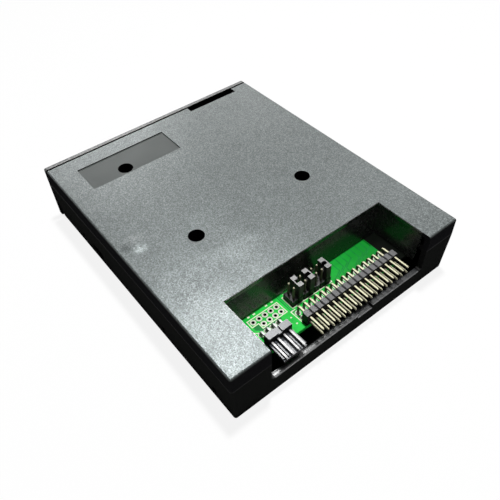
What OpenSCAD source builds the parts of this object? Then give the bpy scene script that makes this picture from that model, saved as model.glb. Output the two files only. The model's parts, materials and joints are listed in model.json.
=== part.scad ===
// Floppy drive emulator in the outline of a three and a half inch drive.
// A moulded cover and a drafted lower shell clamp one board between screw wells and bosses.
// The rear opening shows the drive connector, the power connector and a jumper block.
// The front panel carries a socket, two push buttons, a lamp and a three digit display.
// X points right as seen from the front, Y from the front to the rear, Z up.
// The origin is the centre of the outer box, on the underside.

/* [Case] */
// Width of the case
case_w = 101.6; // [98:0.1:110]
// Height of the case from the base to the top face
case_h = 25.4; // [24.6:0.1:28]
// Depth of the case from the front panel's face to the rear face
case_depth = 125; // [122:0.5:140]
// Thickness of the side and rear walls
wall_t = 2.2; // [1.9:0.1:2.4]
// Thickness of the lower shell's floor
floor_t = 2; // [1.6:0.1:2.3]
// Thickness of the cover's top plate
plate_t = 1.8; // [1.5:0.1:2]
// Height of the cover's skirt, from the top face down to the seam
skirt_h = 6.8; // [6:0.1:7.6]
// Radius of the cover's edges and of the upright corners
edge_r = 0.8; // [0.4:0.1:1.2]
// Radius along the bottom edges of the lower shell
base_r = 1; // [0.6:0.1:1.4]
// How far each side wall leans in at the bottom
side_draft = 0.8; // [0.2:0.1:1]
// How far the rear wall leans in at the bottom
rear_draft = 0.4; // [0.2:0.1:0.8]
// Height of the locating rim above and below the seam
rim_h = 1.2; // [0.8:0.1:1.6]
// Thickness of the locating rim
rim_t = 0.9; // [0.7:0.1:1.2]
// Clearance between case parts that locate each other
fit_gap = 0.2; // [0.1:0.05:0.3]
// Size of the bevel that draws the seam below the cover
seam_groove = 0.25; // [0.1:0.05:0.4]

/* [Rear opening] */
// Width of the opening in the cover and the rear wall
opening_w = 71.5; // [68:0.5:76]
// Offset of the opening's centre from the case's centre
opening_x = -0.45; // [-2:0.05:2]
// Depth of the cut-out in the cover, from the rear face
opening_depth = 24.1; // [23:0.1:28]
// Height of the rear lip above the base
lip_h = 8.7; // [7:0.1:9.5]
// Radius where the lip meets the posts
lip_r = 1.5; // [0.5:0.1:3]
// Width of the key notch in the lip
key_w = 7.3; // [5:0.1:9]
// Depth of the key notch in the lip
key_depth = 1.3; // [0.8:0.1:2]

/* [Cover screws] */
// Distance of each screw well from the middle, as a share of the half width
well_share = 0.4921; // [0.46:0.0001:0.52]
// Distance of the front well from the front panel's face
well_front = 21.5; // [20:0.5:26]
// Distance of the rear pair of wells from the rear face
well_rear = 53.5; // [50:0.5:58]
// Diameter of each well
well_d = 6.1; // [5.8:0.1:6.6]
// Wall around each well
well_wall = 1.2; // [0.9:0.1:1.6]
// Thickness of the floor that the screw head sits on
well_floor_t = 2; // [1.5:0.1:2.6]
// Shank diameter of the screws
screw_d = 2.9; // [2.5:0.1:3.2]
// Head diameter of the screws
screw_head_d = 5.4; // [5:0.1:5.6]
// Head height of the screws
screw_head_h = 1.9; // [1.5:0.1:2.4]
// Depth that a screw reaches into its boss
screw_bite = 7; // [5:0.5:7.5]
// Width of each screw's cross slot
screw_slot_w = 0.9; // [0.7:0.1:1.1]
// Outer diameter of the lower shell's bosses
boss_d = 7; // [6:0.1:8]

/* [Cover details] */
// Width of the bare recess in the top plate
recess_w = 40; // [36:0.5:44]
// Depth of the recess from front to rear
recess_l = 14.8; // [12:0.1:17]
// How far the recess is sunk
recess_t = 0.4; // [0.2:0.05:0.6]
// Offset of the recess from the front well, across the case
recess_side = 4.1; // [3:0.1:6]
// Offset of the recess from the front well, towards the front
recess_ahead = 3.5; // [1:0.1:5]
// Width of the notch in the cover's front edge, over the display
notch_w = 24.8; // [24:0.1:28]
// Depth of the notch from the cover's front edge
notch_l = 3; // [2:0.1:4]
// Width of each snap hook
hook_w = 7.6; // [6:0.1:10]
// Thickness of each snap hook
hook_t = 1.4; // [1.1:0.1:1.8]
// How far a hook's barb reaches out
barb = 0.9; // [0.6:0.1:1]
// Height of each snap window above the base
window_low = 3.5; // [3.2:0.1:5]
// Height of each snap window
window_h = 4.5; // [4:0.1:6]
// Distance of the snap windows from the front panel's face
window_front = 36.5; // [33:0.5:40]

/* [Side holes] */
// Height of the side mounting holes above the base
side_hole_h = 5; // [4.6:0.1:5.4]
// Diameter of the side mounting holes
side_hole_d = 2.7; // [2.4:0.1:3]
// Depth of the side mounting holes
side_hole_depth = 6; // [4:0.5:7]
// Outer diameter of the side bosses
side_boss_d = 7.2; // [6.4:0.1:8]
// Distance of the rear side hole from the rear face
side_hole_rear = 11; // [9:0.5:14]
// Distance between the rear and the middle side hole
side_hole_step = 30; // [24:0.5:34]
// Distance of the front side hole from the front panel's face
side_hole_front = 24; // [20:0.5:26]

/* [Board] */
// Height of the board's underside, as a share of the case's height
board_share = 0.4213; // [0.41:0.0001:0.43]
// Thickness of the board
board_t = 1.6; // [1.2:0.1:1.6]
// Gap between the board and the case's outer sides
board_side_gap = 12.3; // [11:0.1:13]
// Distance of the board's rear edge from the rear face
board_rear_gap = 6.6; // [6:0.1:8]
// Distance of the board's front edge from the front panel's back
board_front_gap = 0.7; // [0.4:0.1:1]
// Width of the rear support posts
post_w = 4; // [3:0.1:5]
// Diameter of the plated holes
pad_hole_d = 1; // [0.95:0.01:1.1]
// How far the leads reach below the board
lead_tail = 1.4; // [0.8:0.1:2]

/* [Pin headers] */
// Spacing of the pins
pitch = 2.54; // [2.5:0.01:2.6]
// Side of each square pin
pin_w = 0.64; // [0.6:0.01:0.66]
// Taper at a pin's tip
pin_taper = 0.5; // [0.2:0.05:0.7]
// Thickness of the header bases along the pins
base_t = 2.54; // [2.3:0.01:2.7]
// Width of the grooves between the columns
groove_w = 0.8; // [0.4:0.05:1]
// Depth of the grooves between the columns
groove_t = 0.45; // [0.2:0.05:0.6]
// Clearance around a pin in its base
pin_gap = 0.02; // [0.01:0.01:0.05]
// Number of columns in the drive connector
drive_cols = 17; // [13:1:17]
// Centre of the drive connector across the case
drive_x = -7; // [-8:0.1:-6]
// Distance of the connector's pin tips from the rear face
tip_gap = 0.3; // [0:0.1:1]
// Gap between the base and its nearest row of legs
leg_gap = 0.8; // [0.7:0.01:1.5]
// Number of columns in the jumper block
jumper_cols = 7; // [5:1:8]
// Centre of the jumper block across the case
jumper_x = 4.2; // [3.5:0.1:4.5]
// Distance of the jumper block's centre from the rear face
jumper_rear = 17.9; // [17.7:0.1:19]
// Length of the jumper pins above their base
jumper_pin_h = 5.9; // [5:0.1:6]
// Columns that carry a cap, counted from the right
capped_cols = [1, 3, 6];
// Width of a jumper cap
cap_w = 2.1; // [1.9:0.05:2.3]
// Height of a jumper cap
cap_h = 6; // [5.4:0.1:6.4]
// Length of the waist between a cap's two sockets
cap_waist = 1.5; // [1.2:0.1:1.6]
// Web left at the waist
cap_web = 0.4; // [0.3:0.05:0.6]
// How far a cap stands clear of the base
cap_seat = 0.25; // [0.2:0.05:0.4]
// Number of columns in the bare rows of plated holes
bare_cols = 5; // [3:1:5]
// Centre of the bare plated holes across the case
bare_x = 22.4; // [21.5:0.1:23]
// Distance of the bare plated holes' centre from the rear face
bare_rear = 17.8; // [17.4:0.1:19]

/* [Power connector] */
// Centre of the power connector across the case
power_x = 24.8; // [24.4:0.1:25.5]
// Spacing of the power pins
power_pitch = 2.5; // [2.4:0.01:2.54]
// Number of power pins
power_pins_n = 4; // [4:1:4]
// Width and height of each power pin
power_pin_w = 0.7; // [0.6:0.05:1]
// Height of the power pins' centre above the board
power_pin_h = 2; // [1.8:0.1:2.2]
// Height of the block above the board
power_block_h = 4.5; // [4:0.1:5]
// Depth of the block along the pins
power_block_t = 2.6; // [2.2:0.1:3]
// Distance of the block's face from the rear face
power_face = 8.1; // [7.6:0.1:8.4]
// Thickness of the guide tongue under the pins
tongue_t = 1; // [0.8:0.1:1.1]
// Gap between the tongue's end and the rear face
tongue_gap = 0.7; // [0.4:0.1:1.2]
// Height of the guide ribs on the tongue
rib_h = 0.7; // [0.4:0.1:0.9]
// Width of the guide ribs
rib_w = 0.5; // [0.4:0.05:0.6]
// Distance of the power pins' legs from the rear face
power_leg = 13.6; // [13:0.1:14]
// Wall beside the outer power pins
power_wall = 1.1; // [0.9:0.1:1.3]

/* [Front panel] */
// Thickness of the front panel
panel_t = 2.2; // [1.6:0.1:2.6]
// Height of the front panel's lower edge above the base
panel_low = 1; // [0.8:0.1:1.5]
// Gap between the cover's front edge and the front panel
panel_gap = 0.9; // [0.2:0.1:1.2]
// Depth of the flange behind the front panel
flange_l = 4; // [3:0.1:5]
// Thickness of the flange
flange_t = 1.3; // [1:0.1:1.6]
// Width of each panel latch
latch_w = 9; // [7:0.5:11]
// Distance of the panel latches from the middle, as a share of the half width
latch_share = 0.295; // [0.24:0.005:0.31]

/* [Display] */
// Width of the three digit display
display_w = 22.6; // [22:0.1:23]
// Height of the display
display_h = 14; // [13:0.1:14.4]
// Depth of the display
display_t = 7.2; // [6:0.1:7.4]
// Distance of the display from the middle, as a share of the half width
display_share = 0.5886; // [0.58:0.0001:0.6]
// How far the display's face lies behind the front panel's face
display_sink = 0.5; // [0.2:0.1:1]
// Clearance around the display in the front panel
display_gap = 0.3; // [0.2:0.05:0.5]
// Height of each digit
digit_h = 9.14; // [8:0.02:9.6]
// Width of each segment
segment_w = 0.95; // [0.8:0.05:1.1]
// Thickness of the display's own board
display_board_t = 1.2; // [1:0.1:1.6]
// Margin of the display's board around the display
display_board_margin = 1.2; // [1:0.1:1.4]

/* [Buttons and lamp] */
// Half the distance between the buttons, as a share of the half width
button_step_share = 0.128; // [0.12:0.001:0.132]
// Distance of the pair of buttons from the middle, as a share of the half width
button_share = 0.059; // [0.04:0.001:0.07]
// Width of each button
button_w = 7; // [6:0.1:8]
// Height of each button
button_h = 4.4; // [4:0.1:5]
// How far each button stands proud of the front panel
button_proud = 0.8; // [0.6:0.1:1.2]
// Corner radius of the buttons
button_r = 0.8; // [0.4:0.1:1.2]
// Clearance around each button in the front panel
button_gap = 0.25; // [0.2:0.05:0.35]
// Travel of each button
button_travel = 0.3; // [0.2:0.05:0.4]
// Height of the button and lamp axes above the board
axis_h = 4.2; // [4:0.1:4.6]
// Width and height of each push switch
switch_w = 6; // [5.8:0.1:6.2]
// Depth of each push switch
switch_t = 3.5; // [3.2:0.1:3.9]
// Diameter of each switch's plunger
plunger_d = 3.5; // [3:0.1:3.6]
// Diameter of the lamp's body
lamp_d = 3; // [2.8:0.1:3.2]
// Distance of the lamp from the middle, as a share of the half width
lamp_share = 0.354; // [0.335:0.001:0.36]

/* [Socket] */
// Width of the socket's metal shell
socket_w = 13.1; // [12.9:0.1:13.3]
// Height of the socket's metal shell
socket_h = 5.8; // [5.6:0.1:6]
// Length of the socket's metal shell
socket_l = 14; // [13:0.1:15]
// Thickness of the socket's metal
socket_t = 0.3; // [0.25:0.05:0.4]
// Distance of the socket from the middle, as a share of the half width
socket_share = 0.594; // [0.58:0.001:0.6]
// Gap around the socket in the front panel
socket_gap = 0.3; // [0.2:0.05:0.5]
// Thickness of the socket's contact tongue
socket_tongue_t = 1.8; // [1.6:0.1:2]

/* [Small parts] */
// Side of the square processor
chip_w = 10; // [9:0.1:11]
// Thickness of the chip bodies
chip_t = 1.4; // [1.2:0.1:1.6]
// Number of leads on each side of the processor
chip_leads = 12; // [8:1:16]
// Length of each buffer chip
buffer_l = 8.6; // [8:0.1:9]
// Width of each buffer chip
buffer_w = 3.9; // [3.6:0.1:4.2]
// Length of the crystal can
crystal_l = 11; // [10:0.1:11.5]
// Width and height of the crystal can
crystal_w = 3.8; // [3.4:0.1:4.2]
// Width of the voltage regulator
regulator_w = 6.5; // [6:0.1:7]
// Depth of the voltage regulator
regulator_l = 3.5; // [3.2:0.1:3.8]
// Diameter of the capacitor cans
can_d = 6.3; // [5:0.1:6.6]
// Height of the capacitor cans
can_h = 5.4; // [5:0.1:6]
// Length of the chip resistors
resistor_l = 2; // [1.6:0.1:2.2]
// Width of the chip resistors
resistor_w = 1.2; // [0.8:0.1:1.3]
// Height of the chip resistors
resistor_t = 0.6; // [0.4:0.05:0.7]

/* [Hidden] */
$fn = 48;
// Facets of the rounded case corners
corner_facets = 32;
// Overrun of every cut, and overlap where a solid is joined to another of its own node
cut = 0.1;

// Outer box and main levels
board_lift = case_h * board_share;
y_rear = (case_depth + button_proud) / 2;
y_face = y_rear - case_depth;
panel_back = y_face + panel_t;
case_front = panel_back + panel_gap;
half_w = case_w / 2;
inner_x = half_w - wall_t;
seam_z = case_h - skirt_h;
latch_x = half_w * latch_share;
plate_under = case_h - plate_t;
rear_inner = y_rear - wall_t;

// Board and wells
board_top = board_lift + board_t;
board_x = half_w - board_side_gap;
board_rear = y_rear - board_rear_gap;
board_front = panel_back + board_front_gap;
well_x = half_w * well_share;
well_y_rear = y_rear - well_rear;
well_y_front = y_face + well_front;
well_y_mid = (well_y_rear + well_y_front) / 2;
cover_wells = [[well_x, well_y_rear], [-well_x, well_y_rear], [well_x, well_y_front]];
board_screw_place = [-well_x, well_y_front];
screw_hole_d = screw_d + 2 * fit_gap;
pilot_d = screw_d + 2 * pin_gap;

// Openings in the rear
opening_left = opening_x - opening_w / 2;
display_x = -half_w * display_share;
notch_x = display_x;
side_hole_last = y_rear - side_hole_rear;
side_holes = [side_hole_last, side_hole_last - side_hole_step, y_face + side_hole_front];
window_y = y_face + window_front;
hook_low = floor_t + 2 * fit_gap;

// Drive connector
drive_face = board_rear;
drive_back = drive_face - base_t;
drive_left = drive_x - drive_cols * pitch / 2;
drive_upper_z = board_top + 3 * pitch / 2;
drive_lower_z = board_top + pitch / 2;
drive_tip = y_rear - tip_gap;
drive_leg_lower = drive_back - leg_gap;
drive_leg_upper = drive_leg_lower - pitch;
drive_xs = [for (i = [0 : drive_cols - 1]) drive_left + (i + 1 / 2) * pitch];
lead_low = board_lift - lead_tail;

// Jumper block
jumper_y = y_rear - jumper_rear;
jumper_left = jumper_x - jumper_cols * pitch / 2;
jumper_xs = [for (i = [0 : jumper_cols - 1]) jumper_left + (i + 1 / 2) * pitch];
jumper_top = board_top + base_t;
jumper_tip = jumper_top + jumper_pin_h;
cap_l = 2 * pitch - groove_t / 4;
cap_base = jumper_top + cap_seat;

// Bare plated holes: five at the front and one fewer at the rear
bare_y = y_rear - bare_rear;
bare_left = bare_x - bare_cols * pitch / 2;
bare_holes = concat(
    [for (i = [0 : bare_cols - 1]) [bare_left + (i + 1 / 2) * pitch, bare_y - pitch / 2]],
    [for (i = [0 : bare_cols - 2]) [bare_left + (i + 1 / 2) * pitch, bare_y + pitch / 2]]
);

// Power connector
power_left = power_x - power_pins_n * power_pitch / 2;
power_xs = [for (i = [0 : power_pins_n - 1]) power_left + (i + 1 / 2) * power_pitch];
power_half = (power_pins_n - 1) * power_pitch / 2 + power_wall;
power_face_y = y_rear - power_face;
power_back_y = power_face_y - power_block_t;
power_leg_y = y_rear - power_leg;
power_pin_z = board_top + power_pin_h;
power_tip = y_rear - tip_gap / 2 - power_pin_w / 2;
tongue_end = y_rear - tongue_gap;

// Display
display_z = (floor_t + plate_under) / 2;
display_face = y_face + display_sink;
display_back = display_face + display_t;
display_board_back = display_back + display_board_t;
display_board_w = display_w + 2 * display_board_margin;
display_board_h = display_h + 2 * display_board_margin;
digit_pitch = display_w / 3;
digit_w = digit_h * 0.56;
digit_lean_share = 0.17;
segment_rise = cut;
display_pin_n = 4;
display_pin_z = board_top + pitch / 2;
display_pin_left = display_x - display_pin_n * pitch / 2;
display_pin_xs = [for (i = [0 : display_pin_n - 1]) display_pin_left + (i + 1 / 2) * pitch];
display_leg_y = display_board_back + leg_gap + pitch / 2;

// Buttons, switches and lamp
axis_z = board_top + axis_h;
button_x = half_w * button_share;
button_step = half_w * button_step_share;
button_xs = [button_x - button_step, button_x + button_step];
lamp_x = half_w * lamp_share;
button_face = y_face - button_proud;
collar_y = panel_back + fit_gap;
collar_t = wall_t / 3;
collar_edge = fit_gap * 3;
switch_face = collar_y + collar_t + plunger_d / 2;
switch_back = switch_face + switch_t;
plunger_gap = fit_gap / 2;
plunger_end = switch_face + switch_t / 3;
button_back = switch_face - button_travel - 3 * fit_gap / 2;
lamp_back = panel_back + plunger_d;
lamp_front = y_face + display_sink;
lamp_lead_w = pin_w;
lamp_leg_y = lamp_back + leg_gap;

// Socket
socket_x = half_w * socket_share;
socket_front = y_face + fit_gap;
socket_back = socket_front + socket_l;
socket_low = board_top;
socket_mid = socket_low + socket_h / 2;
socket_inner_w = socket_w - 2 * socket_t;
socket_inner_h = socket_h - 2 * socket_t;
socket_tongue_w = socket_inner_w - 2 * socket_tongue_t / 3;
socket_tongue_low = socket_mid + fit_gap;
socket_core_l = socket_l / 4;
socket_leg_w = socket_tongue_t;
socket_leg_y = socket_back - socket_l / 3;
contact_w = pin_w * 1.5;
contact_t = fit_gap;
contact_n = 4;
contact_pitch = socket_tongue_w / (contact_n + 1 / 2);
contact_left = socket_x - contact_n * contact_pitch / 2;

// Small parts on the board
chip_centre = [-chip_w / 2, well_y_mid];
buffer_y = well_y_rear + 2 * buffer_w;
buffer_xs = [drive_x - buffer_l, drive_x + buffer_l / 2];
crystal_place = [chip_centre[0] + chip_w + crystal_w, chip_centre[1]];
regulator_place = [-well_x, well_y_mid];
can_xs = [well_x - can_d / 4, well_x + can_d];
can_y = well_y_rear - well_d - can_d;
can_base_h = can_h / 6;
resistor_n = 6;
resistor_y = chip_centre[1] - chip_w;
resistor_xs = [for (i = [0 : resistor_n - 1]) chip_centre[0] + (i - (resistor_n - 1) / 2) * pitch];
lead_t = fit_gap;
chip_foot = chip_w / 10;
chip_lead_pitch = chip_w / (chip_leads + 1);

// A box from its low corner to its high corner
module block(low, high) {
    translate(low)
        cube([high[0] - low[0], high[1] - low[1], high[2] - low[2]]);
}

// A rectangle with round corners, centred, extruded along Z
module round_plate(size, radius, height) {
    linear_extrude(height) {
        square([size[0] - 2 * radius, size[1]], center = true);
        square([size[0], size[1] - 2 * radius], center = true);
        for (sx = [-1, 1], sy = [-1, 1])
            translate([sx * (size[0] / 2 - radius), sy * (size[1] / 2 - radius)])
                circle(r = radius);
    }
}

// A plate that faces the front: its low Y side is at front_y
module upright_plate(centre_x, centre_z, size, radius, front_y, depth) {
    translate([centre_x, front_y + depth, centre_z])
        rotate([90, 0, 0])
            round_plate(size, radius, depth);
}

// A square pin that points along +Y, with a tapered tip
module tapered_bar(from_y, to_y, side, taper) {
    half = side / 2;
    slim = half / 2;
    intersection() {
        translate([0, 0, -half])
            linear_extrude(side)
                polygon([
                    [-half, from_y], [half, from_y], [half, to_y - taper],
                    [slim, to_y], [-slim, to_y], [-half, to_y - taper]
                ]);
        rotate([0, 90, 0])
            translate([0, 0, -half])
                linear_extrude(side)
                    polygon([
                        [-half, from_y], [half, from_y], [half, to_y - taper],
                        [slim, to_y], [-slim, to_y], [-half, to_y - taper]
                    ]);
    }
}

// A pin that leaves the board, bends once and points to the rear
module bent_pin(x, leg_y, z, tip_y, side, taper, low) {
    bend = side;
    translate([x, 0, z])
        tapered_bar(leg_y + bend, tip_y, side, taper);
    block([x - side / 2, leg_y - side / 2, low], [x + side / 2, leg_y + side / 2, z - bend]);
    translate([x, leg_y + bend, z - bend])
        rotate([0, -90, 0])
            rotate([0, 0, -90])
                rotate_extrude(angle = 90)
                    translate([bend - side / 2, -side / 2])
                        square(side);
}

// A row of column outlines with a groove between each pair, on its upper and lower edges
function grooved_outline(cols, height) = concat(
    [[0, 0]],
    [for (i = [1 : cols - 1], p = [[-1, 0], [0, 1], [1, 0]])
        [i * pitch + p[0] * groove_w / 2, p[1] * groove_t]],
    [[cols * pitch, 0], [cols * pitch, height]],
    [for (i = [cols - 1 : -1 : 1], p = [[1, 0], [0, 1], [-1, 0]])
        [i * pitch + p[0] * groove_w / 2, height - p[1] * groove_t]],
    [[0, height]]
);

// A ball for rounding, with small flats that give it its full height
module corner_ball(radius) {
    sphere(r = radius, $fn = corner_facets);
    cylinder(r = radius / 10, h = 2 * radius, center = true, $fn = corner_facets);
}

// The cover's outer form down to the seam
module cover_form() {
    reach = half_w - edge_r;
    hull()
        for (side = [-1, 1], y = [case_front - edge_r, y_rear - edge_r]) {
            translate([side * reach, y, case_h - edge_r])
                corner_ball(edge_r);
            translate([side * reach, y, seam_z])
                cylinder(r = edge_r, h = rim_h, $fn = corner_facets);
        }
}

// The lower shell's outer form, drafted inwards to the base
module shell_form() {
    reach = half_w - edge_r;
    hull()
        for (side = [-1, 1], rear = [0, 1]) {
            top_y = rear == 1 ? y_rear - edge_r : case_front - edge_r;
            low_y = rear == 1 ? y_rear - rear_draft - base_r : case_front - base_r;
            translate([side * reach, top_y, seam_z - rim_h])
                cylinder(r = edge_r, h = rim_h - seam_groove, $fn = corner_facets);
            translate([side * reach, top_y, seam_z - rim_h])
                cylinder(r = edge_r - seam_groove, h = rim_h, $fn = corner_facets);
            translate([side * (half_w - side_draft - base_r), low_y, base_r])
                corner_ball(base_r);
        }
}

// The snap hook on one side of the cover
module snap_hook(side) {
    outer = inner_x - fit_gap;
    barb_low = window_low + fit_gap;
    barb_top = window_low + window_h - fit_gap;
    rotate([90, 0, 0])
        translate([0, 0, -window_y - hook_w / 2])
            linear_extrude(hook_w)
                polygon([
                    [side * outer, plate_under + cut], [side * (outer - hook_t), plate_under + cut],
                    [side * (outer - hook_t), hook_low], [side * outer, hook_low],
                    [side * outer, barb_low], [side * (outer + barb), barb_top - barb],
                    [side * (outer + barb), barb_top], [side * outer, barb_top]
                ]);
}

// Moulded cover: plate, skirt, screw wells and snap hooks
module top_cover() {
    color([0.3, 0.31, 0.31])
        difference() {
            union() {
                difference() {
                    cover_form();
                    block([-half_w - cut, y_face - edge_r, seam_z - cut],
                        [half_w + cut, case_front, case_h + cut]);
                    block([-inner_x, case_front - cut, seam_z - cut],
                        [inner_x, rear_inner, plate_under]);
                }
                for (place = cover_wells)
                    translate([place[0], place[1], board_top])
                        cylinder(d = well_d + 2 * well_wall, h = plate_under + cut - board_top);
                for (side = [-1, 1])
                    snap_hook(side);
            }
            block([opening_left, y_rear - opening_depth, seam_z - cut],
                [opening_left + opening_w, y_rear + cut, case_h + cut]);
            block([notch_x - notch_w / 2, case_front - cut, plate_under - cut],
                [notch_x + notch_w / 2, case_front + notch_l, case_h + cut]);
            recess_centre = [well_x - recess_side, well_y_front - recess_ahead];
            block([recess_centre[0] - recess_w / 2, recess_centre[1] - recess_l / 2, case_h - recess_t],
                [recess_centre[0] + recess_w / 2, recess_centre[1] + recess_l / 2, case_h + cut]);
            for (place = cover_wells)
                translate([place[0], place[1], 0]) {
                    translate([0, 0, board_top + well_floor_t])
                        cylinder(d = well_d, h = case_h);
                    cylinder(d = screw_hole_d, h = case_h);
                }
        }
}

// The locating rim along the walls, as a frame between two levels
module rim_frame(outer, rear, low, high) {
    inside = inner_x - fit_gap - rim_t;
    difference() {
        block([-outer, case_front, low], [outer, rear, high]);
        block([-inside, case_front - cut, low - cut],
            [inside, rear_inner - fit_gap - rim_t, high + cut]);
    }
}

// The rear opening above the lip, with round corners and the key notch
module rear_window() {
    mid = opening_x;
    translate([0, y_rear + cut, 0])
        rotate([90, 0, 0])
            linear_extrude(wall_t + fit_gap + rim_t + 2 * cut) {
                translate([mid - opening_w / 2, lip_h + lip_r])
                    square([opening_w, case_h]);
                translate([mid - opening_w / 2 + lip_r, lip_h])
                    square([opening_w - 2 * lip_r, case_h]);
                for (side = [-1, 1])
                    translate([mid + side * (opening_w / 2 - lip_r), lip_h + lip_r])
                        circle(r = lip_r);
                translate([drive_x - key_w / 2, lip_h - key_depth])
                    square([key_w, case_h]);
            }
}

// Moulded lower shell: floor, drafted walls, rim, bosses and openings
module lower_shell() {
    color([0.1, 0.1, 0.11])
        difference() {
            union() {
                difference() {
                    shell_form();
                    block([-half_w - cut, y_face - edge_r, -cut],
                        [half_w + cut, case_front, case_h]);
                    block([-inner_x, case_front - cut, floor_t], [inner_x, rear_inner, case_h]);
                }
                rim_frame(inner_x + cut, rear_inner + cut, seam_z - rim_h, seam_z);
                rim_frame(inner_x - fit_gap, rear_inner - fit_gap, seam_z - rim_h / 2, seam_z + rim_h);
                for (place = concat(cover_wells, [board_screw_place]))
                    translate([place[0], place[1], floor_t - cut])
                        cylinder(d = boss_d, h = board_lift - floor_t + cut);
                for (side = [-1, 1])
                    block([side * (board_x - post_w) - post_w / 2, board_rear - 4 * post_w, floor_t - cut],
                        [side * (board_x - post_w) + post_w / 2, board_rear - 3 * post_w, board_lift]);
                for (side = [-1, 1], y = side_holes)
                    translate([side * (inner_x + cut), y, side_hole_h])
                        rotate([0, -side * 90, 0])
                            cylinder(d = side_boss_d, h = side_hole_depth);
            }
            rear_window();
            for (place = concat(cover_wells, [board_screw_place]))
                translate([place[0], place[1], board_lift - screw_bite - fit_gap])
                    cylinder(d = pilot_d, h = case_h);
            for (side = [-1, 1], y = side_holes)
                translate([side * (half_w + cut), y, side_hole_h])
                    rotate([0, -side * 90, 0])
                        cylinder(d = side_hole_d, h = side_hole_depth + side_draft + cut);
            for (side = [-1, 1]) {
                block([side * half_w - wall_t - cut, window_y - hook_w / 2 - fit_gap, window_low],
                    [side * half_w + wall_t + cut, window_y + hook_w / 2 + fit_gap, window_low + window_h]);
                rim_x = side * (inner_x - rim_t);
                block([rim_x - rim_t, window_y - hook_w / 2 - fit_gap, seam_z - rim_h - cut],
                    [rim_x + rim_t, window_y + hook_w / 2 + fit_gap, seam_z + rim_h + cut]);
                block([side * latch_x - latch_w / 2 - fit_gap, case_front + flange_l / 2 - fit_gap, -cut],
                    [side * latch_x + latch_w / 2 + fit_gap, case_front + flange_l, floor_t + cut]);
            }
        }
}

// Openings of the front panel
module panel_openings() {
    depth = panel_t + 2 * cut;
    upright_plate(display_x, display_z,
        [display_w + 2 * display_gap, display_h + 2 * display_gap], display_gap, y_face - cut, depth);
    upright_plate(socket_x, socket_mid,
        [socket_w + 2 * socket_gap, socket_h + 2 * socket_gap], socket_gap, y_face - cut, depth);
    for (x = button_xs)
        upright_plate(x, axis_z, [button_w + 2 * button_gap, button_h + 2 * button_gap],
            button_r + button_gap, y_face - cut, depth);
    translate([lamp_x, y_face - cut, axis_z])
        rotate([-90, 0, 0])
            cylinder(d = lamp_d + 2 * fit_gap, h = depth);
}

// Front panel with its flange, top tab and two latches
module front_panel() {
    out = inner_x - fit_gap - rim_t - fit_gap;
    low = floor_t + fit_gap;
    high = plate_under - fit_gap;
    end = panel_back + flange_l;
    color([0.11, 0.11, 0.12])
        difference() {
            union() {
                hull()
                    for (side = [-1, 1], z = [panel_low + edge_r, case_h - edge_r]) {
                        translate([side * (half_w - edge_r), y_face + edge_r, z])
                            corner_ball(edge_r);
                        translate([side * (half_w - edge_r), panel_back, z])
                            rotate([90, 0, 0])
                                cylinder(r = edge_r, h = panel_t / 3, $fn = corner_facets);
                    }
                for (side = [-1, 1])
                    block([side * (out - flange_t / 2) - flange_t / 2, panel_back - cut, low],
                        [side * (out - flange_t / 2) + flange_t / 2, end, high]);
                block([-out, panel_back - cut, low], [out, end, low + flange_t]);
                block([button_x - latch_w, panel_back - cut, high - flange_t],
                    [button_x + latch_w, end, high]);
                for (side = [-1, 1])
                    block([side * latch_x - latch_w / 2, panel_back + flange_l / 2 + panel_gap, floor_t / 2],
                        [side * latch_x + latch_w / 2, end, low + cut]);
            }
            panel_openings();
            block([display_x - display_board_w / 2 - display_gap, panel_back, low - cut],
                [display_x + display_board_w / 2 + display_gap, end + cut, low + flange_t + cut]);
        }
}

// One pan head screw with a cross slot, its head resting at seat_z
module pan_screw(place, seat_z) {
    translate([place[0], place[1], seat_z])
        difference() {
            union() {
                cylinder(d = screw_head_d, h = screw_head_h / 2);
                translate([0, 0, screw_head_h / 2])
                    cylinder(d1 = screw_head_d, d2 = screw_head_d - screw_head_h / 2, h = screw_head_h / 2);
                translate([0, 0, board_lift - screw_bite - seat_z])
                    cylinder(d = screw_d, h = seat_z + cut - board_lift + screw_bite);
            }
            for (turn = [0, 90])
                rotate([0, 0, turn])
                    translate([-screw_d / 2, -screw_slot_w / 2, screw_head_h / 3])
                        cube([screw_d, screw_slot_w, screw_head_h]);
        }
}

// The three screws at the bottom of the wells
module cover_screws() {
    color([0.35, 0.35, 0.36])
        for (place = cover_wells)
            pan_screw(place, board_top + well_floor_t);
}

// The screw that holds the board before the cover goes on
module board_screw() {
    color([0.62, 0.62, 0.62])
        pan_screw(board_screw_place, board_top);
}

// Main board with every plated hole
module main_board() {
    notch_right = display_x + display_board_w / 2 + 2 * fit_gap;
    notch_end = display_board_back + fit_gap;
    color([0.05, 0.45, 0.2])
        difference() {
            translate([0, 0, board_lift])
                linear_extrude(board_t)
                    polygon([
                        [notch_right, board_front], [board_x, board_front], [board_x, board_rear],
                        [-board_x, board_rear], [-board_x, notch_end], [notch_right, notch_end]
                    ]);
            for (place = concat(cover_wells, [board_screw_place]))
                drill(place, screw_hole_d);
            for (x = drive_xs, y = [drive_leg_lower, drive_leg_upper])
                drill([x, y], pad_hole_d);
            for (x = jumper_xs, y = [jumper_y - pitch / 2, jumper_y + pitch / 2])
                drill([x, y], pad_hole_d);
            for (place = bare_holes)
                drill(place, pad_hole_d);
            for (x = power_xs)
                drill([x, power_leg_y], power_pin_w * 1.6);
            for (x = display_pin_xs)
                drill([x, display_leg_y], pad_hole_d);
            for (side = [-1, 1])
                drill([lamp_x + side * pitch / 2, lamp_leg_y], pad_hole_d);
            for (side = [-1, 1])
                drill([socket_x + side * (socket_w - socket_t) / 2, socket_leg_y], socket_leg_w * 1.3);
        }
}

// One round hole through the board
module drill(place, diameter) {
    translate([place[0], place[1], board_lift - cut])
        cylinder(d = diameter, h = board_t + 2 * cut);
}

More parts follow.
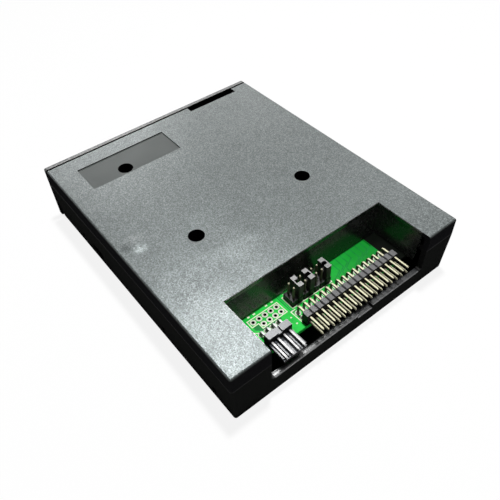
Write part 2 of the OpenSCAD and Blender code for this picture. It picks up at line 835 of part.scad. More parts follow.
// Base of the drive connector: two rows of square holes and a groove between columns
module drive_header_base() {
    hole = pin_w + 2 * pin_gap;
    color([0.2, 0.2, 0.21])
        difference() {
            translate([drive_left, drive_face, board_top])
                rotate([90, 0, 0])
                    linear_extrude(base_t)
                        polygon(grooved_outline(drive_cols, 2 * pitch));
            for (x = drive_xs, z = [drive_lower_z, drive_upper_z])
                block([x - hole / 2, drive_back - cut, z - hole / 2],
                    [x + hole / 2, drive_face + cut, z + hole / 2]);
        }
}

// Upper row of the drive connector's bent pins
module drive_pins_upper() {
    color([0.85, 0.75, 0.45])
        for (x = drive_xs)
            bent_pin(x, drive_leg_upper, drive_upper_z, drive_tip, pin_w, pin_taper, lead_low);
}

// Lower row of the drive connector's bent pins
module drive_pins_lower() {
    color([0.85, 0.75, 0.45])
        for (x = drive_xs)
            bent_pin(x, drive_leg_lower, drive_lower_z, drive_tip, pin_w, pin_taper, lead_low);
}

// Base of the jumper block
module jumper_base() {
    hole = pin_w + 2 * pin_gap;
    color([0.12, 0.12, 0.12])
        difference() {
            translate([jumper_left, jumper_y - pitch, board_top])
                linear_extrude(base_t)
                    polygon(grooved_outline(jumper_cols, 2 * pitch));
            for (x = jumper_xs, y = [jumper_y - pitch / 2, jumper_y + pitch / 2])
                block([x - hole / 2, y - hole / 2, board_top - cut],
                    [x + hole / 2, y + hole / 2, jumper_top + cut]);
        }
}

// Straight pins of the jumper block
module jumper_pins() {
    color([0.85, 0.75, 0.45])
        for (x = jumper_xs, y = [jumper_y - pitch / 2, jumper_y + pitch / 2])
            translate([x, y, 0])
                rotate([90, 0, 0])
                    tapered_bar(lead_low, jumper_tip, pin_w, pin_taper / 2);
}

// A cap over one column: two sockets joined by a web on one side
module jumper_cap(column, web_side) {
    x = jumper_xs[jumper_cols - 1 - column];
    bore = pin_w + 3 * fit_gap / 2;
    waist_reach = cap_w - cap_web;
    color([0.22, 0.22, 0.22])
        difference() {
            translate([x, jumper_y, cap_base])
                round_plate([cap_w, cap_l], cap_web / 2, cap_h);
            for (y = [jumper_y - pitch / 2, jumper_y + pitch / 2])
                block([x - bore / 2, y - bore / 2, cap_base - cut],
                    [x + bore / 2, y + bore / 2, cap_base + cap_h - cap_seat / 2]);
            translate([x - web_side * (cap_w / 2 - waist_reach / 2 + cut), jumper_y, cap_base + cap_h / 2])
                translate([-waist_reach / 2 - cut, -cap_waist / 2, 0])
                    cube([waist_reach + 2 * cut, cap_waist, cap_h]);
        }
}

module jumper_cap_1() {
    jumper_cap(capped_cols[0], 1);
}

module jumper_cap_2() {
    jumper_cap(capped_cols[1], -1);
}

module jumper_cap_3() {
    jumper_cap(capped_cols[2], -1);
}

// Power connector block with its guide tongue and ribs
module power_block() {
    hole = power_pin_w + 2 * pin_gap;
    top = board_top + power_block_h;
    color([0.08, 0.08, 0.08])
        difference() {
            union() {
                block([power_x - power_half, power_back_y, board_top], [power_x + power_half, power_face_y, top]);
                block([power_x - power_half, power_face_y - cut, board_top],
                    [power_x + power_half, tongue_end, board_top + tongue_t]);
                for (side = [-1, 1], step = [power_pitch, power_half - rib_w / 2])
                    block([power_x + side * step - rib_w / 2, power_face_y - cut, board_top],
                        [power_x + side * step + rib_w / 2, tongue_end - rib_w, board_top + tongue_t + rib_h]);
            }
            for (x = power_xs)
                block([x - hole / 2, power_back_y - cut, power_pin_z - hole / 2],
                    [x + hole / 2, power_face_y + cut, power_pin_z + hole / 2]);
            block([power_x - power_pitch / 3, power_back_y - cut, top - rib_h],
                [power_x + power_pitch / 3, power_face_y + cut, top + cut]);
        }
}

// Power pins, bent down into the board
module power_pins() {
    color([0.85, 0.85, 0.85])
        for (x = power_xs)
            bent_pin(x, power_leg_y, power_pin_z, power_tip, power_pin_w, pin_taper, lead_low);
}

// A row of flat leads along one side of a chip, from the body down to the board
module chip_leads_row(count, step, body_edge, foot_edge, lead_w) {
    for (i = [0 : count - 1]) {
        along = (i - (count - 1) / 2) * step;
        block([along - lead_w / 2, body_edge - cut, chip_t / 2],
            [along + lead_w / 2, (body_edge + foot_edge) / 2, chip_t / 2 + lead_t]);
        block([along - lead_w / 2, (body_edge + foot_edge) / 2 - lead_t, 0],
            [along + lead_w / 2, (body_edge + foot_edge) / 2, chip_t / 2 + lead_t]);
        block([along - lead_w / 2, (body_edge + foot_edge) / 2 - lead_t, 0],
            [along + lead_w / 2, foot_edge, lead_t]);
    }
}

// Square processor with leads on four sides
module processor() {
    body = chip_w - 2 * lead_t;
    color([0.1, 0.1, 0.1])
        translate([chip_centre[0], chip_centre[1], board_top]) {
            translate([-body / 2, -body / 2, lead_t])
                cube([body, body, chip_t]);
            for (turn = [0 : 90 : 270])
                rotate([0, 0, turn])
                    chip_leads_row(chip_leads, chip_lead_pitch, body / 2, body / 2 + chip_foot, chip_lead_pitch / 2);
        }
}

// Two buffer chips behind the drive connector
module buffer_chips() {
    color([0.1, 0.1, 0.1])
        for (x = buffer_xs)
            translate([x, buffer_y, board_top]) {
                translate([-buffer_l / 2, -buffer_w / 2, lead_t])
                    cube([buffer_l, buffer_w, chip_t]);
                for (turn = [0, 180])
                    rotate([0, 0, turn])
                        chip_leads_row(7, pitch / 2, buffer_w / 2, buffer_w / 2 + chip_foot, pin_w / 2);
            }
}

// Metal can of the crystal, lying along Y
module crystal_can() {
    color([0.75, 0.75, 0.75])
        translate([crystal_place[0], crystal_place[1], board_top]) {
            round_plate([crystal_w + 2 * lead_t, crystal_l + 2 * lead_t], crystal_w / 2, lead_t);
            round_plate([crystal_w, crystal_l], crystal_w / 2 - lead_t / 2, crystal_w);
        }
}

// Voltage regulator with its tab and three leads
module voltage_regulator() {
    color([0.1, 0.1, 0.1])
        translate([regulator_place[0], regulator_place[1], board_top]) {
            translate([-regulator_w / 2, -regulator_l / 2, lead_t])
                cube([regulator_w, regulator_l, chip_t]);
            chip_leads_row(1, 0, regulator_l / 2, regulator_l / 2 + 2 * chip_foot, regulator_w / 2);
            rotate([0, 0, 180])
                chip_leads_row(3, regulator_w / 3, regulator_l / 2, regulator_l / 2 + 2 * chip_foot, pin_w);
        }
}

// Two capacitor cans on square bases
module capacitor_cans() {
    color([0.78, 0.78, 0.78])
        for (x = can_xs)
            translate([x, can_y, board_top]) {
                translate([-can_d / 2, -can_d / 2, 0])
                    cube([can_d, can_d, can_base_h]);
                cylinder(d = can_d - lead_t, h = can_h);
            }
}

// Chip resistors in a row ahead of the processor
module chip_resistors() {
    color([0.16, 0.16, 0.17])
        for (x = resistor_xs)
            translate([x - resistor_w / 2, resistor_y - resistor_l / 2, board_top])
                cube([resistor_w, resistor_l, resistor_t]);
}

// Block of the three digit display
module display_body() {
    color([0.12, 0.12, 0.13])
        upright_plate(display_x, display_z, [display_w, display_h], fit_gap, display_face, display_t);
}

// One bar of a digit, pointed at both ends, centred and along X
module segment_bar(length) {
    half = segment_w / 2;
    polygon([
        [-length / 2, 0], [-length / 2 + half, half], [length / 2 - half, half],
        [length / 2, 0], [length / 2 - half, -half], [-length / 2 + half, -half]
    ]);
}

// The seven bars of one digit and its point
module digit_bars() {
    bar_w = digit_w - segment_w - fit_gap;
    bar_h = (digit_h - segment_w) / 2 - fit_gap;
    reach = (digit_h - segment_w) / 2;
    for (z = [-reach, 0, reach])
        translate([z * digit_lean_share, z])
            segment_bar(bar_w);
    for (side = [-1, 1], z = [-reach / 2, reach / 2])
        translate([side * (digit_w - segment_w) / 2 + z * digit_lean_share, z])
            rotate(90)
                segment_bar(bar_h);
    translate([digit_w / 2 + segment_w - reach * digit_lean_share, -reach])
        circle(d = segment_w);
}

// Bars of the three digits, on the display's face
module display_segments() {
    color([0.75, 0.72, 0.7])
        for (i = [-1 : 1])
            translate([display_x + i * digit_pitch - segment_w / 2, display_face, display_z])
                rotate([90, 0, 0])
                    linear_extrude(segment_rise)
                        digit_bars();
}

// The display's own small board
module display_board() {
    hole = pin_w + 2 * pin_gap;
    color([0.05, 0.4, 0.18])
        difference() {
            block([display_x - display_board_w / 2, display_back, display_z - display_board_h / 2],
                [display_x + display_board_w / 2, display_board_back, display_z + display_board_h / 2]);
            for (x = display_pin_xs)
                block([x - hole / 2, display_back - cut, display_pin_z - hole / 2],
                    [x + hole / 2, display_board_back + cut, display_pin_z + hole / 2]);
        }
}

// Pins that join the display's board to the main board
module display_pins() {
    color([0.85, 0.75, 0.45])
        for (x = display_pin_xs)
            translate([x, display_leg_y, 0])
                rotate([0, 0, 180])
                    bent_pin(0, 0, display_pin_z, display_leg_y - display_back, pin_w, pin_taper / 5, lead_low);
}

// Housing of one push switch, with the bore that its plunger slides in
module switch_body(x) {
    low = board_top;
    color([0.14, 0.14, 0.14])
        difference() {
            union() {
                block([x - switch_w / 2, switch_face, low], [x + switch_w / 2, switch_back, axis_z + switch_w / 2]);
                translate([x, switch_face + cut, axis_z])
                    rotate([90, 0, 0])
                        cylinder(d = plunger_d + 2 * collar_t, h = fit_gap + cut);
            }
            translate([x, switch_face - 2 * fit_gap, axis_z])
                rotate([-90, 0, 0])
                    cylinder(d = plunger_d + 2 * plunger_gap, h = switch_t - fit_gap);
        }
}

module switch_body_1() {
    switch_body(button_xs[0]);
}

module switch_body_2() {
    switch_body(button_xs[1]);
}

// Plunger of one push switch, held in the button's socket
module switch_plunger(x) {
    color([0.2, 0.2, 0.2])
        translate([x, collar_y + collar_t, axis_z])
            rotate([-90, 0, 0])
                cylinder(d = plunger_d, h = plunger_end - collar_y - collar_t);
}

module switch_plunger_1() {
    switch_plunger(button_xs[0]);
}

module switch_plunger_2() {
    switch_plunger(button_xs[1]);
}

// Push button: a crowned head, a collar behind the panel and a socket for the plunger
module push_button(x) {
    crown = button_r / 4;
    color([0.16, 0.16, 0.17])
        difference() {
            union() {
                upright_plate(x, axis_z, [button_w - 2 * crown, button_h - 2 * crown], button_r,
                    button_face, button_proud);
                upright_plate(x, axis_z, [button_w, button_h], button_r,
                    button_face + crown, collar_y - button_face);
                upright_plate(x, axis_z, [button_w + 2 * collar_edge, button_h + 2 * collar_edge], button_r,
                    collar_y, collar_t);
                translate([x, collar_y, axis_z])
                    rotate([-90, 0, 0])
                        cylinder(d = plunger_d + 2 * collar_t, h = button_back - collar_y);
            }
            translate([x, collar_y + collar_t, axis_z])
                rotate([-90, 0, 0])
                    cylinder(d = plunger_d + 2 * pin_gap, h = case_h);
        }
}

module push_button_1() {
    push_button(button_xs[0]);
}

module push_button_2() {
    push_button(button_xs[1]);
}

// Lamp with a domed end and a flange
module lamp() {
    color([0.3, 0.7, 0.35])
        translate([lamp_x, lamp_back, axis_z])
            rotate([90, 0, 0]) {
                rotate_extrude()
                    polygon(lamp_outline());
            }
}

// Half outline of the lamp, from its flange to the end of its dome
function lamp_outline() = let (
        length = lamp_back - lamp_front,
        radius = lamp_d / 2,
        straight = length - radius
    ) concat(
        [[0, 0], [radius + fit_gap * 2, 0], [radius + fit_gap * 2, lamp_d / 3], [radius, lamp_d / 3]],
        [for (angle = [0 : 15 : 75]) [radius * cos(angle), straight + radius * sin(angle)]],
        [[0, length]]
    );

// Two leads that bend down into the board
module lamp_leads() {
    color([0.8, 0.8, 0.8])
        for (side = [-1, 1])
            translate([lamp_x + side * pitch / 2, lamp_leg_y, 0])
                rotate([0, 0, 180])
                    bent_pin(0, 0, axis_z - lamp_d / 6, lamp_leg_y - lamp_back, lamp_lead_w,
                        pin_taper / 5, lead_low);
}

// Folded metal shell of the socket
module socket_shell() {
    spring_w = socket_w / 6;
    color([0.8, 0.8, 0.8]) {
        difference() {
            block([socket_x - socket_w / 2, socket_front, socket_low],
                [socket_x + socket_w / 2, socket_back, socket_low + socket_h]);
            block([socket_x - socket_inner_w / 2, socket_front - cut, socket_low + socket_t],
                [socket_x + socket_inner_w / 2, socket_back - socket_t, socket_low + socket_h - socket_t]);
            for (side = [-1, 1])
                block([socket_x + side * socket_w / 4 - spring_w / 2, socket_front + socket_l / 4,
                        socket_low + socket_h / 2],
                    [socket_x + side * socket_w / 4 + spring_w / 2, socket_front + socket_l / 2,
                        socket_low + socket_h + cut]);
        }
        for (side = [-1, 1])
            block([socket_x + side * (socket_w - socket_t) / 2 - socket_t / 2, socket_leg_y - socket_leg_w / 2,
                    lead_low],
                [socket_x + side * (socket_w - socket_t) / 2 + socket_t / 2, socket_leg_y + socket_leg_w / 2,
                    socket_low + socket_t]);
    }
}

// Moulded core of the socket with its tongue
module socket_insulator() {
    gap = pin_gap;
    color([0.9, 0.9, 0.88]) {
        block([socket_x - socket_inner_w / 2 + gap, socket_back - socket_core_l, socket_low + socket_t + gap],
            [socket_x + socket_inner_w / 2 - gap, socket_back - socket_t - gap,
                socket_low + socket_h - socket_t - gap]);
        block([socket_x - socket_tongue_w / 2, socket_front + socket_leg_w, socket_tongue_low],
            [socket_x + socket_tongue_w / 2, socket_back - socket_core_l + cut,
                socket_tongue_low + socket_tongue_t]);
    }
}

// Four contact strips under the tongue
module socket_contacts() {
    color([0.85, 0.7, 0.35])
        for (i = [0 : contact_n - 1]) {
            x = contact_left + (i + 1 / 2) * contact_pitch;
            block([x - contact_w / 2, socket_front + 2 * socket_leg_w, socket_tongue_low - contact_t],
                [x + contact_w / 2, socket_back - socket_core_l, socket_tongue_low]);
        }
}

top_cover();
lower_shell();
front_panel();
cover_screws();
board_screw();
main_board();
drive_header_base();
drive_pins_upper();
drive_pins_lower();
jumper_base();
jumper_pins();
jumper_cap_1();
jumper_cap_2();
jumper_cap_3();
power_block();
power_pins();
processor();
buffer_chips();
crystal_can();
voltage_regulator();
capacitor_cans();
chip_resistors();
display_body();
display_segments();
display_board();
display_pins();
switch_body_1();
switch_body_2();
switch_plunger_1();
switch_plunger_2();
push_button_1();
push_button_2();
lamp();
lamp_leads();
socket_shell();
socket_insulator();
socket_contacts();
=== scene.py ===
import json
import math
import bmesh
import bpy
from mathutils import Matrix, Vector


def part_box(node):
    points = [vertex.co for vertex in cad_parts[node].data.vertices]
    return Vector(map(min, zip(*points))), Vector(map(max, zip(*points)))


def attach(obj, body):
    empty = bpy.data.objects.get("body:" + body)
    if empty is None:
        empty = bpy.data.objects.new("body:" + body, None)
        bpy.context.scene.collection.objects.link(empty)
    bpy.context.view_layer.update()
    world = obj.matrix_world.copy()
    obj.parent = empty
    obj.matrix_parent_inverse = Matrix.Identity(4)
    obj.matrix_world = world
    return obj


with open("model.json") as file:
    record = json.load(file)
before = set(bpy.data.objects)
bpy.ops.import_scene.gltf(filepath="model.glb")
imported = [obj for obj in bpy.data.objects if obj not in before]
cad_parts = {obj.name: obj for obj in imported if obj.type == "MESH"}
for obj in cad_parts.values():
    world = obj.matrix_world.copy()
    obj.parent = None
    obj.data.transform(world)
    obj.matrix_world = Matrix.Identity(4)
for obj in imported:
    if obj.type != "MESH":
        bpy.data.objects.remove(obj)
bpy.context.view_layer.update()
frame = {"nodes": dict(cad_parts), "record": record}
nodes = frame["nodes"]
print("frame loaded:", len(nodes), "nodes")

mm = 0.001


def calculate(tree, operation, first, second):
    node = tree.nodes.new("ShaderNodeMath")
    node.operation = operation
    for value, socket in ((first, node.inputs[0]), (second, node.inputs[1])):
        if isinstance(value, (int, float)):
            socket.default_value = value
        else:
            tree.links.new(value, socket)
    return node.outputs[0]


# camera and studio

cameraSetup = {
    "place": (91.846, 130.882, 165.413),   # millimetres
    "right": (-0.78183, 0.62266, -0.03216),
    "up": (-0.47505, -0.56148, 0.67754),
    "forward": (-0.40382, -0.54500, -0.73478),
    "lens": 40.08,
    "sensor": 36,
    "clip": (0.005, 20),
}


def placeCamera(setup):
    data = bpy.data.cameras.new("studioCamera")
    data.sensor_width = setup["sensor"]
    data.lens = setup["lens"]
    data.clip_start, data.clip_end = setup["clip"]
    camera = bpy.data.objects.new("studioCamera", data)
    bpy.context.scene.collection.objects.link(camera)
    turn = Matrix((setup["right"], setup["up"], [-v for v in setup["forward"]])).transposed()
    camera.matrix_world = Matrix.Translation(Vector(setup["place"]) * mm) @ turn.to_4x4()
    bpy.context.scene.camera = camera


lightSetup = {
    "key": {"towards": (-0.12, -0.05, 0.99), "distance": 1.0, "size": 0.10, "level": 1.08},
    # these five give only the sheen on the plate, the blocks and the lip
    "sheens": {
        "glareLamp": {"towards": (-0.21, -0.365, 0.90), "distance": 0.75, "size": 0.16, "level": 0.80},
        "frontLamp": {"towards": (-0.24, -0.82, 0.52), "distance": 0.9, "size": 0.3, "level": 0.22},
        "farLamp": {"towards": (-0.54, -0.68, 0.49), "distance": 0.9, "size": 0.24, "level": 0.07},
        "rightLamp": {"towards": (-0.66, -0.34, 0.67), "distance": 0.9, "size": 0.4, "level": 0.18},
        "edgeLamp": {"towards": (-0.40, 0.20, 0.89), "distance": 0.9, "size": 0.28, "level": 0.20},
    },
    "worldLevel": 0.03,
    "floorShade": 0.12,     # how much of the floor's own shading shows
    "floorColour": 0.93,
    "floorReach": 4,
    "floorDrop": 0.0002,
}


def addPanelLight(name, setup):
    # the power that gives a surface facing the lamp the stated level of light
    power = math.pi ** 2 * setup["distance"] ** 2 * setup["level"]
    data = bpy.data.lights.new(name, "AREA")
    data.shape = "DISK"
    data.size = setup["size"]
    data.energy = power
    lamp = bpy.data.objects.new(name, data)
    bpy.context.scene.collection.objects.link(lamp)
    towards = Vector(setup["towards"]).normalized()
    lamp.location = towards * setup["distance"]
    lamp.rotation_euler = towards.to_track_quat("Z", "Y").to_euler()
    return lamp


def whiteRays(tree):
    # camera, glossy and transmission rays see plain white
    path = tree.nodes.new("ShaderNodeLightPath")
    shown = calculate(tree, "MAXIMUM", path.outputs["Is Camera Ray"], path.outputs["Is Glossy Ray"])
    return calculate(tree, "MAXIMUM", shown, path.outputs["Is Transmission Ray"])


def buildWorld(setup):
    world = bpy.data.worlds.new("studioWorld")
    bpy.context.scene.world = world
    world.use_nodes = True
    tree = world.node_tree
    tree.nodes.clear()
    out = tree.nodes.new("ShaderNodeOutputWorld")
    mix = tree.nodes.new("ShaderNodeMixShader")
    tree.links.new(whiteRays(tree), mix.inputs["Fac"])
    for strength, socket in ((setup["worldLevel"], mix.inputs[1]), (1.0, mix.inputs[2])):
        background = tree.nodes.new("ShaderNodeBackground")
        background.inputs["Color"].default_value = (1, 1, 1, 1)
        background.inputs["Strength"].default_value = strength
        tree.links.new(background.outputs[0], socket)
    tree.links.new(mix.outputs[0], out.inputs["Surface"])


def floorMaterial(setup):
    material = bpy.data.materials.new("paleFloor")
    material.use_nodes = True
    tree = material.node_tree
    tree.nodes.clear()
    out = tree.nodes.new("ShaderNodeOutputMaterial")
    mix = tree.nodes.new("ShaderNodeMixShader")
    shade = tree.nodes.new("ShaderNodeBsdfDiffuse")
    level = setup["floorColour"]
    shade.inputs["Color"].default_value = (level, level, level, 1)
    white = tree.nodes.new("ShaderNodeEmission")
    white.inputs["Color"].default_value = (1, 1, 1, 1)
    white.inputs["Strength"].default_value = 1.0
    share = calculate(tree, "MULTIPLY", whiteRays(tree), 1 - setup["floorShade"])
    tree.links.new(share, mix.inputs["Fac"])
    tree.links.new(shade.outputs[0], mix.inputs[1])
    tree.links.new(white.outputs[0], mix.inputs[2])
    tree.links.new(mix.outputs[0], out.inputs["Surface"])
    return material


def buildFloor(setup):
    shape = bmesh.new()
    bmesh.ops.create_grid(shape, x_segments=1, y_segments=1, size=setup["floorReach"])
    mesh = bpy.data.meshes.new("studioFloor")
    shape.to_mesh(mesh)
    shape.free()
    floor = bpy.data.objects.new("studioFloor", mesh)
    floor.location.z = -setup["floorDrop"]
    bpy.context.scene.collection.objects.link(floor)
    floor.data.materials.append(floorMaterial(setup))


def buildStudio(setup):
    addPanelLight("keyLamp", setup["key"]).visible_glossy = False
    for name, sheen in setup["sheens"].items():
        addPanelLight(name, sheen).visible_diffuse = False
    buildWorld(setup)
    buildFloor(setup)


placeCamera(cameraSetup)
buildStudio(lightSetup)
bpy.context.scene.view_settings.view_transform = "Standard"
print("studio ready")


# materials: small tools, then one function for each kind of finish

def startMaterial(name):
    material = bpy.data.materials.new(name)
    material.use_nodes = True
    tree = material.node_tree
    tree.nodes.clear()
    out = tree.nodes.new("ShaderNodeOutputMaterial")
    shader = tree.nodes.new("ShaderNodeBsdfPrincipled")
    tree.links.new(shader.outputs[0], out.inputs["Surface"])
    place = tree.nodes.new("ShaderNodeTexCoord").outputs["Object"]
    return material, tree, shader, place


def noise(tree, place, size, detail, rough):
    node = tree.nodes.new("ShaderNodeTexNoise")
    node.inputs["Scale"].default_value = 1 / (size * mm)
    node.inputs["Detail"].default_value = detail
    node.inputs["Roughness"].default_value = rough
    tree.links.new(place, node.inputs["Vector"])
    return node.outputs["Fac"]


def remap(tree, value, low, high, outLow, outHigh):
    node = tree.nodes.new("ShaderNodeMapRange")
    tree.links.new(value, node.inputs["Value"])
    node.inputs["From Min"].default_value = low
    node.inputs["From Max"].default_value = high
    node.inputs["To Min"].default_value = outLow
    node.inputs["To Max"].default_value = outHigh
    return node.outputs["Result"]


def blendColours(tree, share, first, second):
    node = tree.nodes.new("ShaderNodeMix")
    node.data_type = "RGBA"
    tree.links.new(share, node.inputs["Factor"])
    for value, socket in ((first, node.inputs[6]), (second, node.inputs[7])):
        if isinstance(value, tuple):
            socket.default_value = (*value, 1)
        else:
            tree.links.new(value, socket)
    return node.outputs[2]


def bumpNormal(tree, height, depth, strength):
    node = tree.nodes.new("ShaderNodeBump")
    node.inputs["Distance"].default_value = depth * mm
    node.inputs["Strength"].default_value = strength
    tree.links.new(height, node.inputs["Height"])
    return node.outputs["Normal"]


def bump(tree, shader, height, depth, strength):
    normal = bumpNormal(tree, height, depth, strength)
    tree.links.new(normal, shader.inputs["Normal"])
    return normal.node


def scaled(colour, factor):
    return tuple(min(1.0, c * factor) for c in colour)


def facingUp(tree):
    # 1 on the faces that lie flat, 0 on the walls and below
    facing = tree.nodes.new("ShaderNodeSeparateXYZ")
    tree.links.new(tree.nodes.new("ShaderNodeNewGeometry").outputs["Normal"], facing.inputs[0])
    return remap(tree, facing.outputs["Z"], 0.2, 0.9, 0, 1)


def glossByFacing(tree, shader, look, recess=None):
    # walls that face sideways are duller than the faces that lie flat
    top = facingUp(tree)
    level = remap(tree, top, 0, 1, look["sideGloss"], look["gloss"])
    if recess is not None:
        level = calculate(tree, "SUBTRACT", level,
                          calculate(tree, "MULTIPLY", recess, look["gloss"] - look["recessGloss"]))
    shader.inputs["Specular IOR Level"].default_value = look["gloss"]
    tree.links.new(level, shader.inputs["Specular IOR Level"])
    return top


def mouldedPlastic(name, look):
    # eroded moulding grain with fine glints, slow patches, a little handling wear, and, where the look
    # gives one, a side colour that is painted shade on the walls
    material, tree, shader, place = startMaterial(name)
    fine = noise(tree, place, look["grain"], detail=3.0, rough=0.6)
    patch = noise(tree, place, 9.0, detail=3.0, rough=0.55)
    scuff = noise(tree, place, 2.2, detail=5.0, rough=0.7)
    colour = blendColours(tree, remap(tree, fine, 0.35, 0.68, 0, 1),
                          scaled(look["colour"], 1 - look["spread"]),
                          scaled(look["colour"], 1 + look["spread"]))
    wearAndShade = blendColours(tree, remap(tree, scuff, 0.62, 0.78, 0, 0.35), colour,
                        scaled(look["colour"], 1.5))
    # walls painted darker than the flat faces: painted shade
    if "sideColour" in look:
        wearAndShade = blendColours(tree, facingUp(tree), look["sideColour"], wearAndShade)
    tree.links.new(wearAndShade, shader.inputs["Base Color"])
    rough = calculate(tree, "ADD",
                      remap(tree, fine, 0.3, 0.7, look["rough"] - 0.05, look["rough"] + 0.07),
                      remap(tree, patch, 0.3, 0.7, -0.03, 0.03))
    tree.links.new(rough, shader.inputs["Roughness"])
    if "sideGloss" in look:
        glossByFacing(tree, shader, look)
    else:
        shader.inputs["Specular IOR Level"].default_value = look["gloss"]
    bump(tree, shader, fine, look["depth"], 0.6)
    return material


def polishedPlastic(name, look):
    # mould-polished plastic: slow ripples that cloud what it mirrors
    material, tree, shader, place = startMaterial(name)
    ripple = noise(tree, place, look["ripple"], detail=3.0, rough=0.6)
    haze = noise(tree, place, 4.0, detail=3.0, rough=0.6)
    tree.links.new(blendColours(tree, haze, look["colour"], scaled(look["colour"], 1.6)),
                   shader.inputs["Base Color"])
    tree.links.new(remap(tree, haze, 0.3, 0.7, look["rough"], look["rough"] + 0.14),
                   shader.inputs["Roughness"])
    shader.inputs["Specular IOR Level"].default_value = look["gloss"]
    bump(tree, shader, ripple, look["depth"], 0.5)
    return material


def grainedCover(name, look):
    # coarse grain on the faces that lie flat, whose tone is partly painted glint, with sparse grains
    # painted pale as glints; walls painted dark as shade; and a smoother recess floor
    material, tree, shader, place = startMaterial(name)
    fine = noise(tree, place, look["grain"], detail=3.0, rough=0.65)
    finer = noise(tree, place, look["grain"] * 0.45, detail=2.0, rough=0.5)
    patch = noise(tree, place, 16.0, detail=2.0, rough=0.5)
    parts = tree.nodes.new("ShaderNodeSeparateXYZ")
    tree.links.new(place, parts.inputs[0])
    under = calculate(tree, "LESS_THAN", parts.outputs["Z"], look["recessBelow"] * mm)
    above = calculate(tree, "GREATER_THAN", parts.outputs["Z"], look["recessAbove"] * mm)
    recess = calculate(tree, "MULTIPLY", under, above)
    plate = calculate(tree, "SUBTRACT", 1.0, recess)
    top = glossByFacing(tree, shader, look, recess)
    mixed = calculate(tree, "ADD", calculate(tree, "MULTIPLY", fine, 0.6),
                      calculate(tree, "MULTIPLY", finer, 0.4))
    speck = tree.nodes.new("ShaderNodeTexVoronoi")     # one random value for each grain
    speck.inputs["Scale"].default_value = 1 / (look["speckSize"] * mm)
    tree.links.new(place, speck.inputs["Vector"])
    bright = tree.nodes.new("ShaderNodeSeparateColor")
    tree.links.new(speck.outputs["Color"], bright.inputs[0])
    sheen = shader.inputs["Specular IOR Level"].links[0].from_socket
    gain = remap(tree, calculate(tree, "POWER", bright.outputs[1], look["glintPower"]), 0, 1,
                 look["glintLow"], look["glintHigh"])
    gain = calculate(tree, "ADD", calculate(tree, "MULTIPLY", gain, plate), recess)
    tree.links.new(calculate(tree, "MULTIPLY", sheen, gain), shader.inputs["Specular IOR Level"])
    # some grains on the flat plate turn pale: painted glints
    level = remap(tree, bright.outputs[0], 1 - look["paintedGlintCells"], 1, 0, look["paintedGlintShare"])
    paintedGlintMask = calculate(tree, "MULTIPLY", level, calculate(tree, "MULTIPLY", top, plate))
    # the grain's tone spread stands partly for glints: painted glint as well as grain
    toneAndPaintedGlint = remap(tree, mixed, 0.38, 0.66, 0, 1)
    colour = blendColours(tree, toneAndPaintedGlint, scaled(look["colour"], 1 - look["spread"]),
                          scaled(look["colour"], 1 + look["spread"]))
    toned = blendColours(tree, remap(tree, patch, 0.35, 0.65, 0, 0.3), colour,
                         scaled(look["colour"], 1.12))
    grainAndPaintedGlints = blendColours(tree, paintedGlintMask, toned, look["paintedGlintColour"])
    calm = blendColours(tree, recess, grainAndPaintedGlints, look["recessColour"])
    # walls take the side colour: painted shade below the flat top
    tree.links.new(blendColours(tree, top, look["sideColour"], calm), shader.inputs["Base Color"])
    shader.inputs["Specular Tint"].default_value = (*look["sheen"], 1)
    rough = calculate(tree, "ADD",
                      remap(tree, mixed, 0.35, 0.65, look["rough"] + 0.06, look["rough"] - 0.06),
                      calculate(tree, "MULTIPLY", recess, look["recessRough"]))
    tree.links.new(rough, shader.inputs["Roughness"])
    # slow sink marks below the fine grain, and dents round the screws and at the edge
    height = noise(tree, place, look["sinkSize"], detail=1.0, rough=0.4)
    for centre, width, rise in look.get("dents", []):
        reach = tree.nodes.new("ShaderNodeVectorMath")
        reach.operation = "DISTANCE"
        tree.links.new(place, reach.inputs[0])
        reach.inputs[1].default_value = [value * mm for value in centre]
        slope = remap(tree, reach.outputs["Value"], 0, width * mm, 0, rise)
        slope.node.interpolation_type = "SMOOTHSTEP"
        height = calculate(tree, "ADD", height, slope)
    waves = bumpNormal(tree, height, look["sinkDepth"], 1.0)
    # the recess keeps a quarter of the grain's depth
    plain = calculate(tree, "SUBTRACT", 1.0, calculate(tree, "MULTIPLY", recess, 0.75))
    grain = bump(tree, shader, calculate(tree, "MULTIPLY", mixed, plain), look["depth"], look["bump"])
    tree.links.new(waves, grain.inputs["Normal"])
    return material


def platedMetal(name, look):
    # thin plating: drawn lines along the piece, small dull spots, and, where a side colour is given,
    # painted shade darkening the faces that do not lie flat
    material, tree, shader, place = startMaterial(name)
    lines = noise(tree, place, look["grain"], detail=2.0, rough=0.5)
    spots = noise(tree, place, 0.5, detail=4.0, rough=0.65)
    colour = blendColours(tree, remap(tree, spots, 0.45, 0.75, 0, 1), look["colour"], look["dull"])
    # faces that do not lie flat get the side colour: painted shade
    if "side" in look:
        colour = blendColours(tree, facingUp(tree), look["side"], colour)
    tree.links.new(colour, shader.inputs["Base Color"])
    shader.inputs["Metallic"].default_value = look["metal"]
    tree.links.new(remap(tree, spots, 0.3, 0.75, look["rough"], look["rough"] + 0.18),
                   shader.inputs["Roughness"])
    shader.inputs["Specular IOR Level"].default_value = look.get("gloss", 0.1)
    bump(tree, shader, lines, look["depth"], 0.4)
    return material


